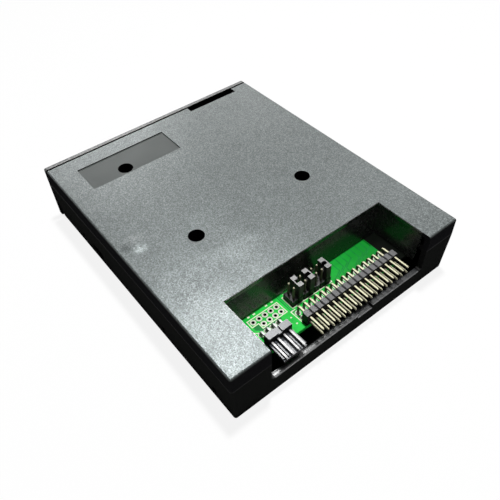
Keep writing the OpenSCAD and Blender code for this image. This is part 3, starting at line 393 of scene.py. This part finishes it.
def solderMask(name, look):
    # lacquer over copper: a fine orange-peel skin, the weave below, and copper that pales it
    material, tree, shader, place = startMaterial(name)
    weave = tree.nodes.new("ShaderNodeTexWave")
    weave.inputs["Scale"].default_value = 900
    weave.inputs["Distortion"].default_value = 1.5
    tree.links.new(place, weave.inputs["Vector"])
    cloud = noise(tree, place, 5.0, detail=3.0, rough=0.6)
    skin = noise(tree, place, 0.35, detail=2.0, rough=0.5)
    parts = tree.nodes.new("ShaderNodeSeparateXYZ")
    tree.links.new(place, parts.inputs[0])
    colour = blendColours(tree, remap(tree, cloud, 0.35, 0.65, 0, 1), look["deep"], look["colour"])
    woven = blendColours(tree, calculate(tree, "MULTIPLY", weave.outputs["Fac"], 0.18), colour,
                         scaled(look["colour"], 1.3))
    if "tone" in look:
        # darker towards the -x end
        along = remap(tree, parts.outputs["X"], look["toneTo"] * mm, look["toneFrom"] * mm, 1, 0)
        woven = blendColours(tree, along, woven, scaled(look["deep"], look["tone"]))
    if "gap" in look:
        # past these two corners the lacquer is painted near black: painted shade for the dark gap where the
        # board ends short of the wall, and for the shadow beside the power block
        for side, corner in (("LESS_THAN", look["edge"]), ("GREATER_THAN", look["corner"])):
            past = calculate(tree, side, parts.outputs["X"], corner[0] * mm)
            behind = calculate(tree, "GREATER_THAN", parts.outputs["Y"], corner[1] * mm)
            woven = blendColours(tree, calculate(tree, "MULTIPLY", past, behind), woven, look["gap"])
    tree.links.new(woven, shader.inputs["Base Color"])
    tree.links.new(remap(tree, skin, 0.3, 0.7, look["rough"], look["rough"] + 0.12),
                   shader.inputs["Roughness"])
    shader.inputs["Specular IOR Level"].default_value = look["gloss"]
    bump(tree, shader, skin, 0.02, 0.5)
    return material


def screenInk(name, look):
    # printed ink: slightly uneven, thin at its edges
    material, tree, shader, place = startMaterial(name)
    grain = noise(tree, place, 0.25, detail=3.0, rough=0.6)
    colour = blendColours(tree, remap(tree, grain, 0.3, 0.6, 0, 1), look["thin"], look["colour"])
    tree.links.new(colour, shader.inputs["Base Color"])
    tree.links.new(remap(tree, grain, 0.3, 0.7, 0.45, 0.65), shader.inputs["Roughness"])
    bump(tree, shader, grain, 0.01, 0.5)
    return material


def tintedLens(name, look):
    # translucent resin with faint cloudiness
    material, tree, shader, place = startMaterial(name)
    cloud = noise(tree, place, 0.8, detail=2.0, rough=0.5)
    colour = blendColours(tree, cloud, look["colour"], scaled(look["colour"], 1.6))
    tree.links.new(colour, shader.inputs["Base Color"])
    tree.links.new(remap(tree, cloud, 0.3, 0.7, 0.12, 0.22), shader.inputs["Roughness"])
    shader.inputs["Transmission Weight"].default_value = look["clear"]
    shader.inputs["IOR"].default_value = 1.5
    return material


# the side colours below are painted shade: they make the walls darker than the flat tops
finishes = {
    "cover_plastic": grainedCover("coverGrain", {
        "colour": (0.033, 0.038, 0.037), "recessColour": (0.058, 0.063, 0.060), "grain": 0.46,
        "sheen": (0.90, 1.0, 1.0), "recessRough": 0.02, "recessGloss": 0.12,
        "speckSize": 0.33, "paintedGlintCells": 0.3, "paintedGlintShare": 0.04, "paintedGlintColour": (0.45, 0.48, 0.48),
        "glintPower": 1.8, "glintLow": 0.6, "glintHigh": 2.05,
        "sinkSize": 16.0, "sinkDepth": 0.32,
        # centre, reach and fall as a share of sinkDepth; the last one rises
        "dents": [((25.0, 9.4, 25.4), 10.0, 0.45), ((-25.0, 9.4, 25.4), 10.0, 0.5),
                  ((43.8, -1.0, 25.4), 6.0, -1.2)],
        "sideColour": (0.010, 0.010, 0.011), "sideGloss": 0.0,
        "spread": 0.45, "rough": 0.32, "gloss": 0.5, "depth": 0.05, "bump": 0.9,
        "recessBelow": 25.2, "recessAbove": 24.6}),
    "shell_plastic": mouldedPlastic("shellGrain", {
        "colour": (0.022, 0.022, 0.023), "sideColour": (0.011, 0.0115, 0.011), "grain": 0.5,
        "spread": 0.3, "rough": 0.2, "gloss": 0.35, "sideGloss": 0.0, "depth": 0.006}),
    "power_plastic": mouldedPlastic("powerBlockGrain", {
        "colour": (0.06, 0.066, 0.075), "sideColour": (0.012, 0.012, 0.013), "grain": 0.5,
        "spread": 0.4, "rough": 0.34, "gloss": 0.6, "sideGloss": 0.02, "depth": 0.004}),
    "panel_plastic": grainedCover("panelGrain", {
        # below 24.7 mm the flat faces take the dark recess colour: painted shade, like the walls
        "colour": (0.040, 0.042, 0.041), "recessColour": (0.014, 0.014, 0.015), "grain": 0.7,
        "sheen": (1.0, 1.0, 1.0), "recessRough": 0.05, "recessGloss": 0.02,
        "speckSize": 0.4, "paintedGlintCells": 0.1, "paintedGlintShare": 0.3, "paintedGlintColour": (0.5, 0.5, 0.5),
        "glintPower": 1.0, "glintLow": 0.5, "glintHigh": 1.5,
        "sinkSize": 14.0, "sinkDepth": 0.3,
        "sideColour": (0.014, 0.014, 0.015), "sideGloss": 0.03,
        "spread": 0.4, "rough": 0.4, "gloss": 0.6, "depth": 0.1, "bump": 0.7,
        "recessBelow": 24.7, "recessAbove": -1.0}),
    "button_plastic": mouldedPlastic("buttonGrain", {
        "colour": (0.03, 0.03, 0.032), "grain": 0.35, "spread": 0.2, "rough": 0.4, "gloss": 0.5,
        "depth": 0.02}),
    "header_plastic": mouldedPlastic("headerGrain", {
        "colour": (0.05, 0.05, 0.052), "sideColour": (0.012, 0.012, 0.013), "grain": 0.3,
        "spread": 0.25, "rough": 0.3, "gloss": 0.45, "sideGloss": 0.03, "depth": 0.004}),
    "jumper_plastic": mouldedPlastic("jumperBaseGrain", {
        "colour": (0.015, 0.015, 0.014), "grain": 0.3, "spread": 0.25, "rough": 0.38, "gloss": 0.4,
        "sideGloss": 0.08, "depth": 0.02}),
    "cap_plastic": mouldedPlastic("capGrain", {
        "colour": (0.05, 0.048, 0.045), "grain": 0.3, "spread": 0.25, "rough": 0.34, "gloss": 0.9,
        "sideGloss": 0.1, "depth": 0.006}),
    "chip_plastic": mouldedPlastic("chipGrain", {
        "colour": (0.02, 0.02, 0.02), "grain": 0.2, "spread": 0.3, "rough": 0.5, "gloss": 0.5,
        "depth": 0.02}),
    "core_plastic": mouldedPlastic("coreGrain", {
        "colour": (0.7, 0.7, 0.67), "grain": 0.3, "spread": 0.05, "rough": 0.4, "gloss": 0.5,
        "depth": 0.01}),
    "display_plastic": mouldedPlastic("displayGrain", {
        "colour": (0.02, 0.02, 0.022), "grain": 0.4, "spread": 0.15, "rough": 0.16, "gloss": 0.6,
        "depth": 0.005}),
    "segment_plastic": mouldedPlastic("segmentResin", {
        "colour": (0.5, 0.45, 0.42), "grain": 0.5, "spread": 0.08, "rough": 0.3, "gloss": 0.5,
        "depth": 0.005}),
    "board_laminate": solderMask("greenMask", {
        "colour": (0.028, 0.60, 0.075), "deep": (0.014, 0.40, 0.042), "rough": 0.32, "gloss": 0.03,
        "toneFrom": 12.0, "toneTo": -24.0, "tone": 0.62,
        "edge": (-28.4, 36.0), "corner": (29.75, 50.5), "gap": (0.003, 0.004, 0.003)}),
    "pin_gold": platedMetal("palePlating", {
        "colour": (0.74, 0.72, 0.51), "dull": (0.50, 0.47, 0.31), "metal": 0.05, "rough": 0.35,
        "side": (0.12, 0.11, 0.075), "grain": 0.12, "depth": 0.01}),
    "pin_tin": platedMetal("tinPlating", {
        "colour": (0.56, 0.56, 0.56), "dull": (0.38, 0.38, 0.38), "metal": 0.1, "rough": 0.28,
        "side": (0.05, 0.05, 0.05), "grain": 0.12, "depth": 0.01}),
    "screw_steel": platedMetal("darkPlating", {
        "colour": (0.12, 0.12, 0.125), "dull": (0.07, 0.07, 0.07), "metal": 0.9, "rough": 0.35,
        "grain": 0.2, "depth": 0.02}),
    "socket_steel": platedMetal("nickelPlating", {
        "colour": (0.72, 0.72, 0.71), "dull": (0.55, 0.55, 0.54), "metal": 0.95, "rough": 0.25,
        "grain": 0.3, "depth": 0.01}),
    "can_metal": platedMetal("drawnCan", {
        "colour": (0.75, 0.75, 0.75), "dull": (0.62, 0.62, 0.63), "metal": 0.95, "rough": 0.3,
        "grain": 0.3, "depth": 0.01}),
    "lamp_plastic": tintedLens("greenLens", {"colour": (0.08, 0.45, 0.14), "clear": 0.6}),
}
crownFinish = polishedPlastic("lipPolish", {
    "colour": (0.020, 0.021, 0.022), "rough": 0.26, "gloss": 0.8, "ripple": 2.5, "depth": 0.02})
skirtFinish = polishedPlastic("skirtPolish", {
    "colour": (0.009, 0.010, 0.009), "rough": 0.18, "gloss": 0.62, "ripple": 1.6, "depth": 0.05})
inkFinish = screenInk("paleInk", {"colour": (0.80, 0.80, 0.66), "thin": (0.52, 0.60, 0.42)})
padFinish = platedMetal("padTin", {
    "colour": (0.62, 0.65, 0.55), "dull": (0.42, 0.46, 0.36), "metal": 0.05, "rough": 0.4,
    "grain": 0.2, "depth": 0.01})
solderFinish = platedMetal("solderTin", {
    "colour": (0.36, 0.37, 0.33), "dull": (0.22, 0.24, 0.20), "metal": 0.2, "rough": 0.35,
    "grain": 0.2, "depth": 0.02})
# near black, not tin: painted shade inside the holes and round their mouths
holeShadeFinish = platedMetal("paintedHoleShade", {
    "colour": (0.012, 0.014, 0.012), "dull": (0.004, 0.005, 0.004), "metal": 0.0, "rough": 0.5,
    "grain": 0.2, "depth": 0.01, "gloss": 0.0})
bareMask = solderMask("bareMask", {
    "colour": (0.012, 0.24, 0.05), "deep": (0.008, 0.15, 0.03), "rough": 0.3, "gloss": 0.04})

slotOf = {part["node"]: part["material_slot"] for part in frame["record"]["subparts"]}
slotOf["power_block"] = "power_plastic"     # the same nylon, with more sheen on its top
for name, piece in nodes.items():
    for slot in piece.material_slots:
        slot.material = finishes[slotOf[name]]
print("finishes set on", len(nodes), "nodes")


# new pieces: the trim on the board's face, the opening's walls and the lip's crown

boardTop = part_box("main_board")[1].z / mm
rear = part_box("lower_shell")[1].y / mm


def makePiece(shape, name, body, material, smooth=False):
    bmesh.ops.recalc_face_normals(shape, faces=shape.faces)
    mesh = bpy.data.meshes.new(name)
    shape.to_mesh(mesh)
    shape.free()
    mesh.transform(Matrix.Scale(mm, 4))
    if smooth:
        for face in mesh.polygons:
            face.use_smooth = True
    piece = bpy.data.objects.new(name, mesh)
    bpy.context.scene.collection.objects.link(piece)
    mesh.materials.append(material)
    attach(piece, body)
    return piece


def movedVerts(made):
    return [item for item in made if isinstance(item, bmesh.types.BMVert)]


def raiseFaces(shape, faces, thick):
    raised = bmesh.ops.extrude_face_region(shape, geom=faces)["geom"]
    bmesh.ops.translate(shape, vec=(0, 0, thick), verts=movedVerts(raised))


ringCorners = 20


def addRing(shape, x, y, outer, inner, low, thick):
    place = Matrix.Translation((x, y, low))
    edges = []
    for radius in (outer, inner):
        made = bmesh.ops.create_circle(shape, segments=ringCorners, radius=radius, matrix=place)
        edges += list({edge for vert in made["verts"] for edge in vert.link_edges})
    raiseFaces(shape, bmesh.ops.bridge_loops(shape, edges=edges)["faces"], thick)


leastMitre = 0.3


def addPath(shape, points, width, low, thick, closed=False):
    # one flat ribbon along the points, mitred at its corners
    points = [Vector(point) for point in points]
    count = len(points)
    left, right = [], []
    for i, point in enumerate(points):
        runs = []
        if closed or i > 0:
            runs.append((point - points[i - 1]).normalized())
        if closed or i < count - 1:
            runs.append((points[(i + 1) % count] - point).normalized())
        sides = [Vector((-run.y, run.x)) for run in runs]
        side = sum(sides, Vector((0, 0))).normalized()
        reach = width / 2 / max(leastMitre, side.dot(sides[0]))
        left.append(shape.verts.new((*(point + side * reach), low)))
        right.append(shape.verts.new((*(point - side * reach), low)))
    faces = []
    for i in range(count if closed else count - 1):
        j = (i + 1) % count
        faces.append(shape.faces.new((left[i], right[i], right[j], left[j])))
    raiseFaces(shape, faces, thick)


def addPatch(shape, points, low, thick):
    verts = [shape.verts.new((x, y, low)) for x, y in points]
    raiseFaces(shape, [shape.faces.new(verts)], thick)


def fromRear(points):
    # (distance to the left seen from the rear, distance in from the rear face) to the frame
    return [(-x, rear - y) for x, y in points]


pitch = 2.54
powerPitch = 2.5
plating = {
    "driveColumns": [-7 + (i - 8) * pitch for i in range(17)],
    "driveRows": (rear - 9.94, rear - 12.48),
    "bareFront": [22.4 + (i - 2) * pitch for i in range(5)],
    "bareRear": [22.4 + (i - 2) * pitch for i in range(4)],
    "bareRows": (rear - 19.07, rear - 16.53),
    "powerColumns": [24.8 + (i - 1.5) * powerPitch for i in range(4)],
    "powerRow": rear - 13.6,
    "ringOuter": 1.12,
    "ringInner": 0.57,
    "powerOuter": 1.05,
    "powerInner": 0.6,
    "thick": 0.035,
}


def drivePlaces(look):
    return [(x, y) for x in look["driveColumns"] for y in look["driveRows"]]


def barePlaces(look):
    front, back = look["bareRows"]
    return [(x, front) for x in look["bareFront"]] + [(x, back) for x in look["bareRear"]]


def buildPlating(look):
    shape = bmesh.new()
    for x, y in drivePlaces(look) + barePlaces(look):
        addRing(shape, x, y, look["ringOuter"], look["ringInner"], boardTop, look["thick"])
    for x in look["powerColumns"]:
        addRing(shape, x, look["powerRow"], look["powerOuter"], look["powerInner"], boardTop,
                look["thick"])
    return makePiece(shape, "boardPlating", "case", padFinish)


liningLook = {"outer": 0.57, "wall": 0.5, "inner": 0.46, "depth": 1.5, "thick": 0.03}


def buildLinings(look, plated):
    # dark walls and rims in each bare hole, coloured as painted shade
    shape = bmesh.new()
    for x, y in barePlaces(plated):
        addRing(shape, x, y, look["wall"], look["inner"], boardTop - look["depth"], look["depth"])
        addRing(shape, x, y, look["outer"], look["inner"], boardTop, look["thick"])
    return makePiece(shape, "holeLinings", "case", holeShadeFinish)


solderLook = {"foot": 0.72, "top": 0.4, "height": 0.4, "powerFoot": 0.85, "powerTop": 0.5, "corners": 12}


def buildSolder(look, plated):
    shape = bmesh.new()
    joints = [(x, y, look["foot"], look["top"]) for x, y in drivePlaces(plated)]
    joints += [(x, plated["powerRow"], look["powerFoot"], look["powerTop"]) for x in plated["powerColumns"]]
    for x, y, foot, top in joints:
        place = Matrix.Translation((x, y, boardTop + look["height"] / 2))
        bmesh.ops.create_cone(shape, cap_ends=True, segments=look["corners"], radius1=foot, radius2=top,
                              depth=look["height"], matrix=place)
    return makePiece(shape, "solderJoints", "case", solderFinish, smooth=True)


skirtLook = {
    "left": 35.12, "right": -36.02,
    "front": 23.94, "end": 3.6,     # distances in from the rear face
    "top": 25.3, "plateUnder": 23.55, "foot": 12.45,
    "lining": 0.12,        # in front of the plate's edge
    "wall": 1.2,
    "lean": 1.9,           # how far the faces stand in at the foot
    "edge": 0.2,
    "hair": 0.01,          # keeps the walls clear of the lining
}


def addSkirtWall(shape, look, top, foot, lean, wall):
    # the three inner faces, drawn down from one line, then thickened outwards
    end, front = rear - look["end"], rear - look["front"]
    middle = (look["left"] + look["right"]) / 2
    half, length = (look["left"] - look["right"]) / 2, end - front
    about = Matrix.Translation((-middle, -end, 0))
    places = [(middle - half, end), (middle - half, front),
              (middle + half, front), (middle + half, end)]
    corners = [shape.verts.new((x, y, top)) for x, y in places]
    line = [shape.edges.new(pair) for pair in zip(corners, corners[1:])]
    drawn = bmesh.ops.extrude_edge_only(shape, edges=line)["geom"]
    low = movedVerts(drawn)
    bmesh.ops.translate(shape, verts=low, vec=(0, 0, foot - top))
    bmesh.ops.scale(shape, verts=low, space=about,
                    vec=((half - lean) / half, (length - lean) / length, 1))
    inner = [item for item in drawn if isinstance(item, bmesh.types.BMFace)]
    thick = movedVerts(bmesh.ops.extrude_face_region(shape, geom=inner)["geom"])
    bmesh.ops.scale(shape, verts=thick, space=about,
                    vec=((half + wall) / half, (length + wall) / length, 1))


def buildSkirt(look):
    # walls that hang from the plate round the opening, and a thin lining before the plate's edge
    shape = bmesh.new()
    addSkirtWall(shape, look, look["plateUnder"] - look["hair"], look["foot"], look["lean"], look["wall"])
    feet = [edge for edge in shape.edges if all(v.co.z < look["foot"] + look["hair"] for v in edge.verts)]
    bmesh.ops.bevel(shape, geom=feet, offset=look["edge"], segments=2, profile=0.5, affect="EDGES",
                    material=-1)
    addSkirtWall(shape, look, look["top"], look["plateUnder"], 0, look["lining"])
    return makePiece(shape, "openingSkirt", "case", skirtFinish)


crownLook = {
    # spans along the lip and the height each lies at
    "spans": [(-34.6, -10.75, 8.71), (-10.55, -3.45, 7.41), (-3.25, 33.7, 8.71)],
    "inner": 2.05, "outer": 0.04,     # distances in from the rear face
    "rise": 0.2, "corners": 22,
}


def addCrown(shape, x0, x1, z, look):
    # half of a flattened rod
    half = (look["inner"] - look["outer"]) / 2
    flat = Matrix.Diagonal((1, half, look["rise"], 1)) @ Matrix.Rotation(math.pi / 2, 4, "Y")
    place = Matrix.Translation((x0, rear - look["outer"] - half, z)) @ flat
    ring = bmesh.ops.create_circle(shape, cap_ends=True, segments=look["corners"], radius=1,
                                   matrix=place)["verts"]
    grown = movedVerts(bmesh.ops.extrude_face_region(shape, geom=list(ring[0].link_faces))["geom"])
    bmesh.ops.translate(shape, verts=grown, vec=(x1 - x0, 0, 0))
    rod = {face for vert in ring + grown for face in vert.link_faces}
    rod |= {edge for vert in ring + grown for edge in vert.link_edges}
    cut = bmesh.ops.bisect_plane(shape, geom=ring + grown + list(rod), plane_co=(0, 0, z),
                                 plane_no=(0, 0, 1), clear_inner=True)["geom_cut"]
    bmesh.ops.holes_fill(shape, edges=[item for item in cut if isinstance(item, bmesh.types.BMEdge)])


def buildLipCrown(look):
    # a low rounded crown along the top of the rear lip
    shape = bmesh.new()
    for x0, x1, z in look["spans"]:
        addCrown(shape, x0, x1, z, look)
    return makePiece(shape, "lipCrown", "case", crownFinish)


inkLook = {
    "width": 0.34,
    "thick": 0.03,
    "jumperBox": [(-13.38, 15.05), (4.95, 15.05), (4.95, 20.75), (-13.38, 20.75)],
    "bareBox": [(-29.0, 20.47), (-16.0, 20.47), (-15.8, 15.2), (-26.3, 15.2), (-26.3, 17.6),
                (-29.0, 17.6)],
    "headerBox": [(-12.9, 14.25), (-14.95, 14.25), (-14.7, 8.8), (-13.2, 8.8)],
    "padLine": [(-30.3, 15.75), (-27.4, 13.65)],
    "tabs": [(-27.4, 21.7), (-25.1, 21.6), (-19.7, 21.7), (-17.2, 21.7), (-11.8, 21.5)],
    "marks": [(-16.4, 12.5), (-16.4, 9.5)],
    "padWidth": 0.3,
    "tabSize": (0.45, 0.55),     # half the length, and the width
    "markSize": (0.3, 0.5),
}


def buildInk(look):
    shape = bmesh.new()
    low, thick = boardTop, look["thick"]
    for box in (look["jumperBox"], look["bareBox"]):
        addPath(shape, fromRear(box), look["width"], low, thick, closed=True)
    addPath(shape, fromRear(look["headerBox"]), look["width"], low, thick)
    addPath(shape, fromRear(look["padLine"]), look["padWidth"], low, thick)
    for spots, (half, width) in ((look["tabs"], look["tabSize"]), (look["marks"], look["markSize"])):
        for x, y in fromRear(spots):
            addPath(shape, [(x - half, y), (x + half, y)], width, low, thick)
    return makePiece(shape, "printedInk", "case", inkFinish)


traceLook = {
    "thick": 0.02,
    "bareArea": [(-28.75, 17.3), (-28.8, 16.0), (-27.0, 14.45), (-22.8, 13.9), (-19.0, 14.2),
                 (-19.0, 14.95), (-26.55, 14.95), (-26.55, 17.3)],
    # dark gaps between the copper runs that leave the connector towards the chips
    "gaps": 9,
    "width": 0.3,
    "first": 5.6,
    "start": 13.6,
    "turn": 14.6, "turnShift": 0.3, "turnStep": 0.55, "turnCount": 4,
    "run": 5.0, "lean": 0.45,
    "sideLimit": 28.0, "end": 30.0,
    # straight gaps beside the upright pins: place and width
    "strips": [(14.62, 0.34), (14.0, 0.28), (13.5, 0.16)],
    "stripShift": 0.9,
    "stripRows": (12.9, 14.6, 22.6),
}


def buildTraces(look):
    shape = bmesh.new()
    low, thick = boardTop, look["thick"]
    addPatch(shape, fromRear(look["bareArea"]), low, thick)
    for i in range(look["gaps"]):
        x = look["first"] + i * pitch
        turn = look["turn"] + look["turnStep"] * (i % look["turnCount"])
        side = min(x + look["run"], look["sideLimit"])
        points = [(x, look["start"]), (x + look["turnShift"], turn),
                  (side, turn + (side - x) * look["lean"]), (side, look["end"])]
        addPath(shape, fromRear(points), look["width"], low, thick)
    start, turn, end = look["stripRows"]
    for x, width in look["strips"]:
        points = [(-x + look["stripShift"], start), (-x, turn), (-x, end)]
        addPath(shape, fromRear(points), width, low, thick)
    return makePiece(shape, "bareGaps", "case", bareMask)


buildSkirt(skirtLook)
buildLipCrown(crownLook)
buildPlating(plating)
buildSolder(solderLook, plating)
buildLinings(liningLook, plating)
buildInk(inkLook)
buildTraces(traceLook)
print("trim, walls and crown built")
